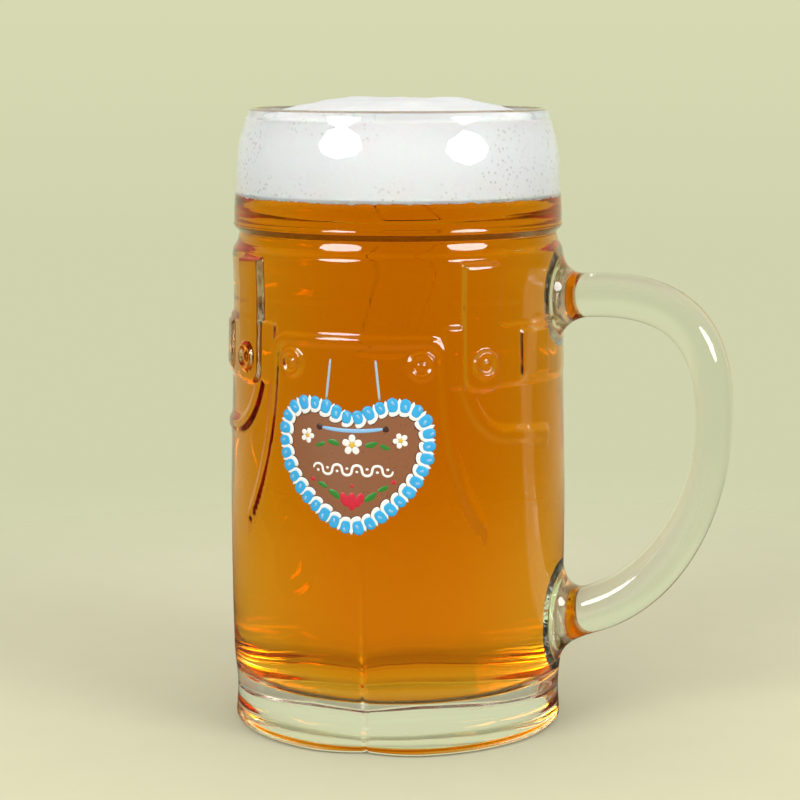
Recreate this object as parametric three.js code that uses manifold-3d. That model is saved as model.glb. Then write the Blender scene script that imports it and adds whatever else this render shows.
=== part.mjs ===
// A half-litre beer mug shaped as leather breeches: a mould-blown glass body with raised braces, waistband,
// front flap and pockets, a glass handle laid on hot, the beer, its head of foam and a fired heart print.
// Millimetres, +Z up. The front faces -Y and the handle points along +X.
import * as THREE from "three";
import { mergeVertices } from "three/addons/utils/BufferGeometryUtils.js";
import Module from "manifold-3d";

const wasm = await Module();
wasm.setup();

// Glass body, from the table upwards
const bodyHeight = 118.4; // table to the shoulder under the groove
const footRadius = 41.2;
const footRound = 1.8;
const ankleRadius = 40.8;
const ankleHeight = 8.5;
const thighRadius = 41.6;
const thighHeight = 18;
const bellyRadius = 42;
const bellyHeight = 58;
const hipRadius = 41.4;
const hipHeight = 84;
const shoulderRadius = 40.8;
const grooveDepth = 1.8;
const grooveHeight = 5.4; // shoulder to the collar's lower edge
const grooveFloor = 1.8;
const collarRadius = 40.4;
const collarHeight = 29.2; // collar's lower edge to the top of the lip
const collarBow = 0.25; // share of the collar's taper reached at its middle
const rimRadius = 37.2;
const lipRadius = 1.5;

// Inside and underside of the body
const wallThickness = 4.6;
const collarWall = 3.8;
const neckWall = 2.9; // behind the groove
const floorThickness = 11.5;
const floorRound = 7;
const standingWidth = 5.5; // ring that touches the table
const hollowDepth = 1.2; // underside inside that ring
const hollowSlope = 2;

// Split between the two legs, front and back
const splitDepth = 6.2; // at the table
const splitHeight = 46; // where it runs out
const splitAngle = 27; // half of its opening round the body, degrees
const splitTurn = 3.3; // from the middle of the front towards the handle, degrees
const splitFade = 1.8; // power by which it runs out upwards
const splitCusp = 2; // power that makes its bottom a crease between two round legs

// Relief on the body: angles are degrees from the middle of the front
const waistDrop = 15.4; // shoulder to the top of the waistband
const waistWidth = 14.3;
const waistRise = 0.6;
const braceWidth = 9.8;
const braceRise = 1.2;
const braceAngle = 43.3;
const backBraceTopAngle = 168.4;
const backBraceAngle = 162.5;
const braceTopGap = 0.9; // below the shoulder
const braceTail = 0.8; // past the lower edge of the waistband
const tabStartAngle = 59;
const tabEndAngle = 75;
const tabWidth = 11.6;
const tabRise = 1.2;
const pipingWidth = 3.2;
const pipingRise = 0.9;
const flapDrop = 18.6; // shoulder to the middle of the flap's top piping
const flapLength = 46.3;
const flapHalfWidth = 22;
const flapHemHalfWidth = 33.2;
const flapCorner = 4.2;
const flapStraight = 30; // straight part of the flap's sides
const pocketWidth = 3.8;
const pocketRise = 0.8;
const pocketStartAngle = 37.5;
const pocketEndAngle = 73;
const pocketDepth = 12; // below the waistband
const pocketBend = 0.12; // share of its length at which it has turned
const pocketFall = 1; // from the bend to the end
const buttonRadius = 3.5;
const buttonRise = 0.8;
const buttonDrop = 9; // below the top of the waistband
const flapButtonAngle = 22.6;

// Handle
const handleThickness = 10.4; // in the handle's own plane
const handleWidth = 12.6;
const handleReach = 37.3; // belly to the handle's middle line, at its widest
const handleWidestHeight = 78;
const upperFootDrop = 11.4; // shoulder to the middle of the upper foot
const lowerFootHeight = 28.4;
const upperFootFlare = 7.4; // added to the thickness where the foot meets the body
const lowerFootFlare = 10.5;
const flareLength = 8;
const handleTopReach = 0.7; // share of the reach to which the top runs straight out
const handleTopRise = 0.15; // shares of the height above the widest place
const handleTopDrop = 0.14;
const handleBottomReach = 0.6;
const handleBottomDrop = 0.5; // share of the height below the widest place

// Beer and foam
const headHeight = 21; // from the beer's surface to the top of the lip
const crownRise = 2.7; // foam above the lip
const crownRadius = 23;
const foamShoulder = 3.2; // below the lip, where the foam meets the glass

// Heart print
const heartWidth = 40.4;
const heartHeight = 33;
const heartDrop = 12.8; // flap piping to the top of the heart
const borderWidth = 3.6;
const cordWidth = 1.1;
const cordSpread = 6;
const cordDrop = 4.4; // flap piping to the top of the cords
const printThickness = 0.4;

// Gaps that keep neighbouring pieces apart
const fluidGap = 0.3;
const handleGap = 0.3;
const printGap = 0.3;
const reliefRoot = 1.2; // how far the relief's solids reach into the wall

// Fineness of the meshes
const bodySegments = 72;
const fluidSegments = 32;
const buttonSegments = 14;
const handleSides = 20;
const handleSteps = 30;
const flapSteps = 42;
const heartSteps = 36;
const heartRows = 5;

const rad = THREE.MathUtils.degToRad;
const waistTop = bodyHeight - waistDrop;
const waistBottom = waistTop - waistWidth;
const grooveMiddle = bodyHeight + grooveHeight / 2;
const collarBase = bodyHeight + grooveHeight;
const rimTop = collarBase + collarHeight;
const lipBase = rimTop - lipRadius;
const beerLevel = rimTop - headHeight;
const flapTop = bodyHeight - flapDrop;
const heartTop = flapTop - heartDrop;

// The value at a height, on a smooth curve through [height, value] stations
function along(stations, height) {
  const last = stations.length - 1;
  let i = 0;
  while (i < last - 1 && height > stations[i + 1][0]) i += 1;
  const slope = (k) => {
    const a = stations[Math.max(k - 1, 0)];
    const b = stations[Math.min(k + 1, last)];
    return (b[1] - a[1]) / (b[0] - a[0]);
  };
  const [low, from] = stations[i];
  const [high, to] = stations[i + 1];
  const span = high - low;
  const t = THREE.MathUtils.clamp((height - low) / span, 0, 1);
  const rise = to - from;
  const curve = (2 * t * t * t - 3 * t * t) * -rise + from;
  return curve + span * ((t - 2 * t * t + t * t * t) * slope(i) + (t * t * t - t * t) * slope(i + 1));
}

const bodyStations = [
  [footRound, footRadius],
  [ankleHeight, ankleRadius],
  [thighHeight, thighRadius],
  [bellyHeight, bellyRadius],
  [hipHeight, hipRadius],
  [bodyHeight, shoulderRadius],
];
const bodyRadius = (z) => along(bodyStations, z);

const collarMiddle = collarBase + (lipBase - collarBase) / 2;
const collarMiddleRadius = collarRadius - (collarRadius - rimRadius) * collarBow;
const collarStations = [
  [collarBase, collarRadius],
  [collarMiddle, collarMiddleRadius],
  [lipBase, rimRadius],
];

const floorRoundTop = floorThickness + floorRound;
const grooveRadius = Math.min(shoulderRadius, collarRadius) - grooveDepth;
const insideStations = [
  [floorRoundTop, bodyRadius(floorRoundTop) - wallThickness],
  [bellyHeight, bellyRadius - wallThickness],
  [hipHeight, hipRadius - wallThickness],
  [bodyHeight, shoulderRadius - wallThickness],
  [grooveMiddle, grooveRadius - neckWall],
  [collarBase + grooveHeight / 2, collarRadius - collarWall],
  [collarMiddle, collarMiddleRadius - collarWall],
  [lipBase, rimRadius - 2 * lipRadius],
];
const insideRadius = (z) => along(insideStations, z);

// Points of an arc in a profile, from one angle to another, degrees anticlockwise from +radius
function arc(centreX, centreY, radius, from, to, steps) {
  return spread(from, to, steps).map((degrees) => {
    const angle = rad(degrees);
    return new THREE.Vector2(centreX + radius * Math.cos(angle), centreY + radius * Math.sin(angle));
  });
}

// Heights spread evenly between two limits, both included
function spread(low, high, steps) {
  return Array.from({ length: steps + 1 }, (_, i) => low + ((high - low) * i) / steps);
}

// Outer skin of the body from the middle of the underside to the lip, grown by a gap
function outsideProfile(gap) {
  const standingEdge = footRadius - footRound;
  const skin = [
    new THREE.Vector2(standingEdge - standingWidth - hollowSlope, hollowDepth),
    new THREE.Vector2(standingEdge - standingWidth, 0),
    ...arc(standingEdge, footRound, footRound, -90, 0, 3),
  ];
  const wall = (z, rise) => skin.push(new THREE.Vector2(bodyRadius(z) + rise, z));
  spread(footRound, thighHeight, 4).slice(1).forEach((z) => wall(z, 0));
  spread(thighHeight, splitHeight, 3).slice(1).forEach((z) => wall(z, 0));
  spread(splitHeight, waistBottom - waistRise, 5).slice(1).forEach((z) => wall(z, 0));
  wall(waistBottom, waistRise);
  wall(waistTop - waistRise, waistRise);
  wall(waistTop, 0);
  wall((waistTop + bodyHeight) / 2, 0);
  wall(bodyHeight, 0);
  skin.push(new THREE.Vector2(grooveRadius, grooveMiddle - grooveFloor / 2));
  skin.push(new THREE.Vector2(grooveRadius, grooveMiddle + grooveFloor / 2));
  spread(collarBase, lipBase, 5).forEach((z) => skin.push(new THREE.Vector2(along(collarStations, z), z)));
  return skin.map((point) => new THREE.Vector2(point.x + gap, point.y));
}

// Inside of the body from the middle of the floor up to a height, shrunk by a gap
function insideProfile(gap, top) {
  const cornerRadius = insideRadius(floorRoundTop) - floorRound;
  const corner = arc(cornerRadius, floorRoundTop, floorRound - gap, -90, 0, 4);
  const heights = spread(floorRoundTop, hipHeight, 3).slice(1);
  heights.push(...spread(hipHeight, grooveMiddle, 3).slice(1), ...spread(grooveMiddle, lipBase, 4).slice(1));
  const wall = heights.filter((z) => z < top).concat(top);
  return [...corner, ...wall.map((z) => new THREE.Vector2(insideRadius(z) - gap, z))];
}

// Turns a profile of radius and height about +Z
function turned(profile, segments, startAngle = 0) {
  const geometry = new THREE.LatheGeometry(profile, segments, startAngle);
  return geometry.rotateX(Math.PI / 2);
}

// Closes a row of equal rings of points into one skin: a fan of faces on each end, or end joined to start
function loft(rings, joined = false) {
  const size = rings[0].length;
  const points = rings.flat();
  const faces = [];
  const spans = joined ? rings.length : rings.length - 1;
  for (let i = 0; i < spans; i += 1) {
    const next = ((i + 1) % rings.length) * size;
    for (let j = 0; j < size; j += 1) {
      const k = (j + 1) % size;
      faces.push(i * size + j, i * size + k, next + j, i * size + k, next + k, next + j);
    }
  }
  const ends = joined ? [] : [[0, false], [rings.length - 1, true]];
  for (const [ring, outward] of ends) {
    const middle = points.length;
    const centre = new THREE.Vector3();
    rings[ring].forEach((point) => centre.addScaledVector(point, 1 / size));
    points.push(centre);
    for (let j = 0; j < size; j += 1) {
      const a = ring * size + j;
      const b = ring * size + ((j + 1) % size);
      faces.push(...(outward ? [a, b, middle] : [b, a, middle]));
    }
  }
  const geometry = new THREE.BufferGeometry().setFromPoints(points);
  return geometry.setIndex(faces);
}

// A closed mesh as a solid for joining and cutting
function solid(geometry) {
  const bare = geometry.clone();
  bare.deleteAttribute("normal");
  bare.deleteAttribute("uv");
  const merged = mergeVertices(bare, 1e-4);
  const triVerts = new Uint32Array(merged.index.array);
  const vertProperties = new Float32Array(merged.attributes.position.array);
  const made = new wasm.Manifold(new wasm.Mesh({ numProp: 3, vertProperties, triVerts }));
  if (made.volume() > 0) return made;
  triVerts.reverse(); // a band laid the other way round comes out facing inwards
  return new wasm.Manifold(new wasm.Mesh({ numProp: 3, vertProperties, triVerts }));
}

// A solid back as geometry for a mesh
function geometryOf(made) {
  const mesh = made.getMesh();
  const geometry = new THREE.BufferGeometry();
  geometry.setAttribute("position", new THREE.BufferAttribute(mesh.vertProperties, 3));
  geometry.setIndex(new THREE.BufferAttribute(mesh.triVerts, 1));
  geometry.computeVertexNormals();
  return geometry;
}

// A place on the body: arc length from the middle of the front, height, and lift off the glass
function onBody(arcLength, z, lift) {
  const angle = arcLength / bellyRadius;
  const radius = bodyRadius(z) + lift;
  return new THREE.Vector3(radius * Math.sin(angle), -radius * Math.cos(angle), z);
}
const arcAt = (angle) => rad(angle) * bellyRadius;

// Sections across a band of relief: share of its half width, share of its rise
const roundSection = [[-1, 0], [-0.72, 0.68], [0, 1], [0.72, 0.68], [1, 0]];
const flatSection = [[-1, 0], [-0.84, 1], [-0.3, 1], [0.3, 1], [0.84, 1], [1, 0]];

// A band that follows a path on the developed body, from its root up to its rise
function band(path, section, halfWidthAt, root, rise) {
  const rings = path.map((point, i) => {
    const before = path[Math.max(i - 1, 0)];
    const after = path[Math.min(i + 1, path.length - 1)];
    const across = new THREE.Vector2(after.y - before.y, before.x - after.x).normalize();
    const half = halfWidthAt(i, point);
    const place = (u, lift) => onBody(point.x + across.x * u * half, point.y + across.y * u * half, lift);
    const top = section.map(([u, share]) => place(u, share * rise));
    const under = section.map(([u]) => place(u, root)).reverse();
    return [...top, ...under];
  });
  return loft(rings);
}

// Half width of a band that ends in a half circle at one or both ends of its path
function roundEnded(path, halfWidth, startRound, endRound) {
  const ease = (distance) => {
    const inside = THREE.MathUtils.clamp(1 - distance / halfWidth, 0, 1);
    return Math.sqrt(Math.max(1 - inside * inside, 0.02));
  };
  return (i, point) => {
    const fromStart = startRound ? ease(point.distanceTo(path[0])) : 1;
    const fromEnd = endRound ? ease(point.distanceTo(path[path.length - 1])) : 1;
    return halfWidth * Math.min(fromStart, fromEnd);
  };
}

// A straight path with close points near its end, where a round end needs them
function straightPath(from, to, endLength) {
  const length = from.distanceTo(to);
  const shares = [0, 0.3, 0.6, ...[1, 0.7, 0.4, 0.15, 0].map((k) => 1 - (k * endLength) / length)];
  return shares.map((share) => from.clone().lerp(to, share));
}

// Brace from the shoulder to just past the waistband
function brace(topAngle, bottomAngle) {
  const top = new THREE.Vector2(arcAt(topAngle), bodyHeight - braceTopGap);
  const bottom = new THREE.Vector2(arcAt(bottomAngle), waistBottom - braceTail);
  const path = straightPath(top, bottom, braceWidth / 2);
  return band(path, flatSection, roundEnded(path, braceWidth / 2, false, true), -reliefRoot, braceRise);
}

// Side tab on the waistband
function tab(side) {
  const middle = (waistTop + waistBottom) / 2;
  const angles = spread(tabStartAngle, tabEndAngle, 4);
  const path = angles.map((angle) => new THREE.Vector2(side * arcAt(angle), middle));
  return band(path, flatSection, () => tabWidth / 2, -reliefRoot, tabRise);
}

// Piping round the front flap: up one flaring side, over the top and down the other
function flapPiping() {
  const bottom = flapTop - flapLength;
  const kink = flapTop - flapCorner - flapStraight;
  const corner = flapHalfWidth - flapCorner;
  const path = new THREE.Path();
  path.moveTo(-flapHemHalfWidth, bottom);
  path.quadraticCurveTo(-flapHalfWidth, kink, -flapHalfWidth, flapTop - flapCorner);
  path.absarc(-corner, flapTop - flapCorner, flapCorner, Math.PI, Math.PI / 2, true);
  path.lineTo(corner, flapTop);
  path.absarc(corner, flapTop - flapCorner, flapCorner, Math.PI / 2, 0, true);
  path.quadraticCurveTo(flapHalfWidth, kink, flapHemHalfWidth, bottom);
  const points = path.getSpacedPoints(flapSteps);
  const half = roundEnded(points, pipingWidth / 2, true, true);
  return band(points, roundSection, half, -reliefRoot, pipingRise);
}

// Pocket piping that drops from the waistband and turns towards the side
function pocket(side) {
  const start = new THREE.Vector2(side * arcAt(pocketStartAngle), waistBottom + pipingWidth / 2);
  const end = new THREE.Vector2(side * arcAt(pocketEndAngle), waistBottom - pocketDepth - pocketFall);
  const bend = new THREE.Vector2(start.x + (end.x - start.x) * pocketBend, waistBottom - pocketDepth);
  const points = new THREE.QuadraticBezierCurve(start, bend, end).getSpacedPoints(14);
  points.push(end.clone().add(new THREE.Vector2((side * pocketWidth) / 3, 0)));
  return band(points, flatSection, roundEnded(points, pocketWidth / 2, false, true), -reliefRoot, pocketRise);
}

// Face of a button, a raised rim round a low boss: share of its radius, share of its rise
const buttonFace = [[1, 0.6], [0.8, 1], [0.58, 0.5], [0.34, 1], [0, 1]];

// Button standing on what lifts it off the body
function button(angle, lift) {
  const foot = [new THREE.Vector2(0, -reliefRoot), new THREE.Vector2(buttonRadius, -reliefRoot)];
  const face = buttonFace.map(([r, rise]) => new THREE.Vector2(r * buttonRadius, lift + rise * buttonRise));
  const height = waistTop - buttonDrop;
  const geometry = new THREE.LatheGeometry([...foot, ...face], buttonSegments);
  return geometry.translate(0, bodyRadius(height), 0).rotateZ(Math.PI + rad(angle)).translate(0, 0, height);
}

// How far the outer skin is pressed in at a place: by the split, and to lose the waistband behind the flap
function pressedIn(point) {
  const angle = THREE.MathUtils.radToDeg(Math.atan2(point.x, -point.y));
  const fromSplit = Math.abs(THREE.MathUtils.euclideanModulo(angle - splitTurn + 90, 180) - 90);
  const closeness = Math.max(1 - fromSplit / splitAngle, 0);
  const fade = Math.max(1 - point.z / splitHeight, 0);
  const split = splitDepth * fade ** splitFade * closeness ** splitCusp;
  const behindFlap = Math.abs(arcAt(angle)) < flapHalfWidth;
  const onWaistband = point.z > waistBottom - waistRise / 2 && point.z < waistTop - waistRise / 2;
  return behindFlap && onWaistband ? waistRise : split;
}

// Glass from the underside over the lip to the floor inside, with the leg split pressed in
function glassBody() {
  const outside = outsideProfile(0);
  const inside = insideProfile(0, lipBase).reverse();
  const lip = arc(rimRadius - lipRadius, lipBase, lipRadius, 0, 180, 6).slice(1, -1);
  const underside = new THREE.Vector2(0, hollowDepth);
  const floor = new THREE.Vector2(0, floorThickness);
  const geometry = turned([underside, ...outside, ...lip, ...inside, floor], bodySegments, rad(splitTurn));
  const place = new THREE.Vector3();
  const vertices = geometry.attributes.position;
  const column = outside.length + lip.length + inside.length + 2;
  for (let i = 0; i < vertices.count; i += 1) {
    if (i % column > outside.length) continue;
    place.fromBufferAttribute(vertices, i);
    const share = 1 - pressedIn(place) / bodyRadius(Math.max(place.z, footRound));
    vertices.setXYZ(i, place.x * share, place.y * share, place.z);
  }
  let glass = solid(geometry);
  const relief = [flapPiping(), button(flapButtonAngle, 0), button(-flapButtonAngle, 0)];
  for (const side of [-1, 1]) {
    relief.push(brace(side * braceAngle, side * braceAngle), tab(side), pocket(side));
    relief.push(brace(side * backBraceTopAngle, side * backBraceAngle));
    relief.push(button(side * braceAngle, braceRise));
  }
  relief.forEach((piece) => {
    glass = glass.add(solid(piece));
  });
  return geometryOf(glass);
}

// Handle swept along its middle line, swelling at both feet, and cut to sit on the body
function handle() {
  const widest = bellyRadius + handleReach;
  const upper = bodyHeight - upperFootDrop;
  const root = bellyRadius - wallThickness / 2;
  const line = new THREE.CurvePath();
  const at = (x, z) => new THREE.Vector3(x, 0, z);
  const rise = upper - handleWidestHeight;
  const fall = handleWidestHeight - lowerFootHeight;
  line.add(
    new THREE.CubicBezierCurve3(
      at(root, upper),
      at(root + (widest - root) * handleTopReach, upper + rise * handleTopRise),
      at(widest, upper - rise * handleTopDrop),
      at(widest, handleWidestHeight),
    ),
  );
  line.add(
    new THREE.CubicBezierCurve3(
      at(widest, handleWidestHeight),
      at(widest, handleWidestHeight - fall * handleBottomDrop),
      at(root + (widest - root) * handleBottomReach, lowerFootHeight),
      at(root, lowerFootHeight),
    ),
  );
  const length = line.getLength();
  const rings = spread(0, 1, handleSteps).map((share) => {
    const centre = line.getPointAt(share);
    const tangent = line.getTangentAt(share);
    const across = new THREE.Vector3(-tangent.z, 0, tangent.x);
    const fromBody = Math.min(share, 1 - share) * length - wallThickness / 2;
    const swell = Math.exp(-((Math.max(fromBody, 0) / (flareLength / 2)) ** 2));
    const flare = (share < 0.5 ? upperFootFlare : lowerFootFlare) * swell;
    return Array.from({ length: handleSides }, (_, i) => {
      const angle = (2 * Math.PI * i) / handleSides;
      const inPlane = ((handleThickness + flare) / 2) * Math.cos(angle);
      const sideways = ((handleWidth + flare / 2) / 2) * Math.sin(angle);
      return centre.clone().addScaledVector(across, inPlane).add(new THREE.Vector3(0, sideways, 0));
    });
  });
  const skin = outsideProfile(handleGap);
  const axis = [skin[0].y, lipBase].map((z) => new THREE.Vector2(0, z));
  const seat = turned([axis[0], ...skin, axis[1]], bodySegments, rad(splitTurn));
  return geometryOf(solid(loft(rings)).subtract(solid(seat)));
}

// Beer up to its surface under the foam
function beer() {
  const profile = insideProfile(fluidGap, beerLevel);
  const bottom = new THREE.Vector2(0, profile[0].y);
  return turned([bottom, ...profile, new THREE.Vector2(0, beerLevel)], fluidSegments);
}

// Foam from the beer up to a low crown that stands above the lip
function foamHead() {
  const bottom = beerLevel + fluidGap;
  const meets = rimTop - foamShoulder;
  const wall = spread(bottom, meets, 4).map((z) => new THREE.Vector2(insideRadius(z) - fluidGap, z));
  const edge = new THREE.Vector2(crownRadius, rimTop);
  const top = new THREE.Vector2(0, rimTop + crownRise);
  const dome = new THREE.SplineCurve([wall[wall.length - 1], edge, top]).getPoints(6).slice(1);
  return turned([new THREE.Vector2(0, bottom), ...wall, ...dome], fluidSegments);
}

// A point of the heart's outline, grown or shrunk about its middle: arc length and height
function heartPoint(turn, scale) {
  const t = -2 * Math.PI * turn;
  const curve = 13 * Math.cos(t) - 5 * Math.cos(2 * t) - 2 * Math.cos(3 * t) - Math.cos(4 * t);
  const share = (curve + 2.53) / 28.93; // the curve runs from -17 at the tip to 11.93 at the lobes
  const middle = heartTop - heartHeight / 2;
  return new THREE.Vector2((scale * heartWidth * Math.sin(t) ** 3) / 2, middle + scale * share * heartHeight);
}

const borderScale = 1 - (2 * borderWidth) / heartWidth;
const groundScale = borderScale - (2 * printGap) / heartWidth;
const printTop = printGap + printThickness;

// A place on the print: step round the heart, scale and lift off the glass
function heartPlace(step, scale, lift) {
  const point = heartPoint(step / heartSteps, scale);
  return onBody(point.x, point.y, lift);
}

// White border round the heart
function heartBorder() {
  const corners = [[1, printGap], [borderScale, printGap], [borderScale, printTop], [1, printTop]];
  const rings = Array.from({ length: heartSteps }, (_, step) =>
    corners.map(([scale, lift]) => heartPlace(step, scale, lift)),
  );
  return loft(rings, true);
}

// Brown ground inside the border, built of rows that follow the round of the body
function heartGround() {
  const row = (scale, lift) => Array.from({ length: heartSteps }, (_, step) => heartPlace(step, scale, lift));
  const scales = spread(0, groundScale, heartRows).slice(1);
  const under = scales.map((scale) => row(scale, printGap));
  const over = scales.map((scale) => row(scale, printTop));
  return loft([...under, ...over.reverse()]);
}

// Cord from under the flap's piping down to the heart
function cord(side) {
  const outline = spread(0, 1, heartSteps * 10).map((share) => heartPoint(share, 1));
  const foot = side * (cordSpread + cordWidth);
  const near = outline.filter((point) => Math.abs(point.x - foot) < cordWidth);
  const heartEdge = Math.max(...near.map((point) => point.y));
  const top = new THREE.Vector2(side * cordSpread, flapTop - cordDrop);
  const bottom = new THREE.Vector2(foot, heartEdge + printGap);
  const path = spread(0, 1, 4).map((share) => top.clone().lerp(bottom, share));
  const section = [[-1, 1], [1, 1]];
  return band(path, section, () => cordWidth / 2, printGap, printTop);
}

// One named piece with its own finish
function piece(name, geometry, colour, roughness, opacity = 1) {
  const material = new THREE.MeshStandardMaterial({
    color: colour,
    roughness,
    metalness: 0,
    opacity,
    transparent: opacity < 1,
  });
  const mesh = new THREE.Mesh(geometry, material);
  mesh.name = name;
  return mesh;
}

const mug = new THREE.Group();
mug.add(piece("glass_body", glassBody(), 0xe6ece0, 0.04, 0.35));
mug.add(piece("handle", handle(), 0xe6ece0, 0.04, 0.35));
mug.add(piece("beer", beer(), 0xc87810, 0.05, 0.8));
mug.add(piece("foam_head", foamHead(), 0xf2f2f0, 0.7));
mug.add(piece("heart_ground", heartGround(), 0x9a6444, 0.5));
mug.add(piece("heart_border", heartBorder(), 0xf6f4ec, 0.45));
mug.add(piece("heart_cord_left", cord(-1), 0x9cc8dc, 0.45));
mug.add(piece("heart_cord_right", cord(1), 0x9cc8dc, 0.45));

// The frame's origin is under the middle of the whole mug, on the table
const box = new THREE.Box3().setFromObject(mug);
const centre = box.getCenter(new THREE.Vector3());
mug.position.set(-centre.x, -centre.y, -box.min.z);

export default mug;
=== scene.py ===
import math

import bmesh
import bpy
import numpy as np
from bpy.props import FloatProperty, FloatVectorProperty, PointerProperty
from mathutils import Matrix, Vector, noise


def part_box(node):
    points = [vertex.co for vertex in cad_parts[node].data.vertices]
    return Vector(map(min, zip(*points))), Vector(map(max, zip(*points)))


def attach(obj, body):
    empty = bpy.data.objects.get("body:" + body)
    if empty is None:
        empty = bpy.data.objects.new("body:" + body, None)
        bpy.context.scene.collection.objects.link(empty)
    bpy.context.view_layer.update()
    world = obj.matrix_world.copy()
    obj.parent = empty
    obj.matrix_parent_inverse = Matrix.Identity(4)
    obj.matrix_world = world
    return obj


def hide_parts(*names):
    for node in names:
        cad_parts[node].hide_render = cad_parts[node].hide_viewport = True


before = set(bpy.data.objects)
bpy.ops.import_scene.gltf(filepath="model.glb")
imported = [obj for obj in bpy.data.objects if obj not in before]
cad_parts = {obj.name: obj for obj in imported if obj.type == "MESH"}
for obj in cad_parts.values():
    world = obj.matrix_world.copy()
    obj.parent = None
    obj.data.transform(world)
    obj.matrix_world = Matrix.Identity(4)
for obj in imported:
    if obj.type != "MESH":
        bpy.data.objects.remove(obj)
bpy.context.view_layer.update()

bl_info = {
    "name": "Breeches beer mug",
    "version": (1, 0, 0),
    "blender": (4, 5, 0),
    "location": "3D View > Sidebar > Mug",
    "description": "Dresses the half-litre glass mug: moulded body, handle, beer, foam and heart print",
    "category": "Object",
}

MM = 0.001
FOAM_LOW, FOAM_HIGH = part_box("foam_head")
BEER_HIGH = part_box("beer")[1]
AXIS = Vector(((FOAM_LOW.x + FOAM_HIGH.x) / 2, (FOAM_LOW.y + FOAM_HIGH.y) / 2, 0))
BELLY = 42.0  # radius at which the body is developed, mm
SHOULDER = 117.0  # height at which the wall turns in to the collar, mm
LIP = 151.5  # height of the middle of the lip's round, mm
LIP_RADIUS = 1.5
FLOOR = 11.5  # height of the floor inside, mm
FLOOR_ROUND = 7.0
FOOT_ROUND = 1.1
FOAM_EDGE = 149.9  # height at which the foam leaves the wall, mm
LIGHT_BOUNCES = 64

# Outer wall from the foot to the shoulder: height and radius, mm
BODY_LINE = (
    (FOOT_ROUND, 41.2), (8.5, 40.8), (18, 41.6), (58, 42.0), (84, 41.4), (106, 40.9),
    (112, 40.95), (SHOULDER, 41.12),
)
# Shoulder, groove and collar up to the lip
COLLAR_LINE = (
    (SHOULDER, 41.12), (118, 40.98), (118.6, 40.9), (119.1, 40.76), (119.6, 40.47), (120.05, 40.14),
    (120.5, 39.9), (121.2, 39.66), (122, 39.46), (122.7, 39.34), (123.1, 39.4), (123.6, 39.85),
    (124.1, 40.38), (124.6, 40.68), (125, 40.72), (125.5, 40.59), (126.1, 40.54), (129.2, 40.53),
    (133, 40.2), (137.5, 39.98), (142, 39.69), (145, 39.24), (147, 38.7), (149, 38.1), (LIP, 37.2),
)
# Inner wall from the round of the floor to the lip
INSIDE_LINE = (
    (18.5, 37.0), (58, 37.4), (84, 36.8), (118.4, 36.2), (121.1, 36.1), (126.5, 36.6),
    (137.7, 35.8), (LIP, 34.2),
)
INSIDE_ROWS = (38, 58, 71, 84, 101, 112, 118.4, 121.1, 124, 126.5, 132, 137.7, 144.5)


def along(line, heights):
    """Values at heights on a smooth curve through (height, value) stations."""
    z, v = np.array(line, float).T
    slope = np.empty_like(v)
    slope[1:-1] = (v[2:] - v[:-2]) / (z[2:] - z[:-2])
    slope[0] = (v[1] - v[0]) / (z[1] - z[0])
    slope[-1] = (v[-1] - v[-2]) / (z[-1] - z[-2])
    heights = np.clip(np.asarray(heights, float), z[0], z[-1])
    i = np.clip(np.searchsorted(z, heights, "right") - 1, 0, len(z) - 2)
    span = z[i + 1] - z[i]
    t = (heights - z[i]) / span
    step = 3 * t**2 - 2 * t**3
    bend = (t - 2 * t**2 + t**3) * slope[i] + (t**3 - t**2) * slope[i + 1]
    return v[i] + (v[i + 1] - v[i]) * step + span * bend


def on_mug(angle, radius, height):
    """A point from its angle off the front, in degrees towards the handle, its radius and height in mm."""
    a = math.radians(angle)
    return AXIS + Vector((radius * math.sin(a), -radius * math.cos(a), height)) * MM


def on_body(arc, height, lift):
    """A point on the plain outer wall from its arc length off the front, height and lift in mm."""
    radius = float(along(BODY_LINE, height)) + lift
    return on_mug(math.degrees(arc / BELLY), radius, height)


def wall_radius(heights):
    """Radius of the plain outer wall at heights up to the lip."""
    return np.where(np.asarray(heights) < SHOULDER, along(BODY_LINE, heights), along(COLLAR_LINE, heights))


def wall_reach(y, z):
    """Reach of the plain outer wall towards the handle, at offsets from the handle's plane and heights."""
    return np.sqrt(np.maximum(wall_radius(z) ** 2 - y**2, 0))


def from_axis(mesh, kind, value):
    """Vertex places or face middles of a mesh as columns x, y, z in mm from the mug's axis."""
    flat = np.empty(len(getattr(mesh, kind)) * 3)
    getattr(mesh, kind).foreach_get(value, flat)
    return (flat.reshape(-1, 3) - np.array(AXIS)).T / MM


# Relief of the breeches on the developed wall: angles off the front in degrees, the rest in mm

FRONT_HALF = 90.0  # the back beyond it is moulded more faintly
TAB_ANGLE = 67.0
TAB_HALF_ANGLE = 8.0
TAB_HALF_HEIGHT = 5.8
BRACE_ANGLE = 43.3
BRACE_CORNER = 3.2
BRACE_DROP = 0.8  # below the waistband's foot
BACK_BRACE_ANGLE = 165.4
BACK_BRACE_LEAN = 8.3
BACK_BRACE_WIDTH, BACK_BRACE_RISE, BACK_BRACE_BEVEL = 0.86, 0.55, 1.6  # beside the front ones
PIPING_HALF = 1.75
# Stations of a pocket's seam: angle and height off the waistband's foot
POCKET_CURVE = ((37.5, 1), (42, -12.4), (56, -12))
POCKET_END = (73.5, -13.2)
POCKET_HALF = 1.6
BUTTON_HEIGHT = 94.2
BRACE_BUTTON, FLAP_BUTTON = 43.8, 22.6
BUTTON_RADIUS = 3.7
BUTTON_RIM, BUTTON_RIM_HALF = 2.7, 0.75
BUTTON_BOSS = 1.15
CREASE_HALF = 0.6


def soft_edge(distance, width):
    """1 inside a shape and 0 outside it, with a round edge of that width."""
    t = np.clip(0.5 - distance / width, 0, 1)
    return t * t * (3 - 2 * t)


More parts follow.
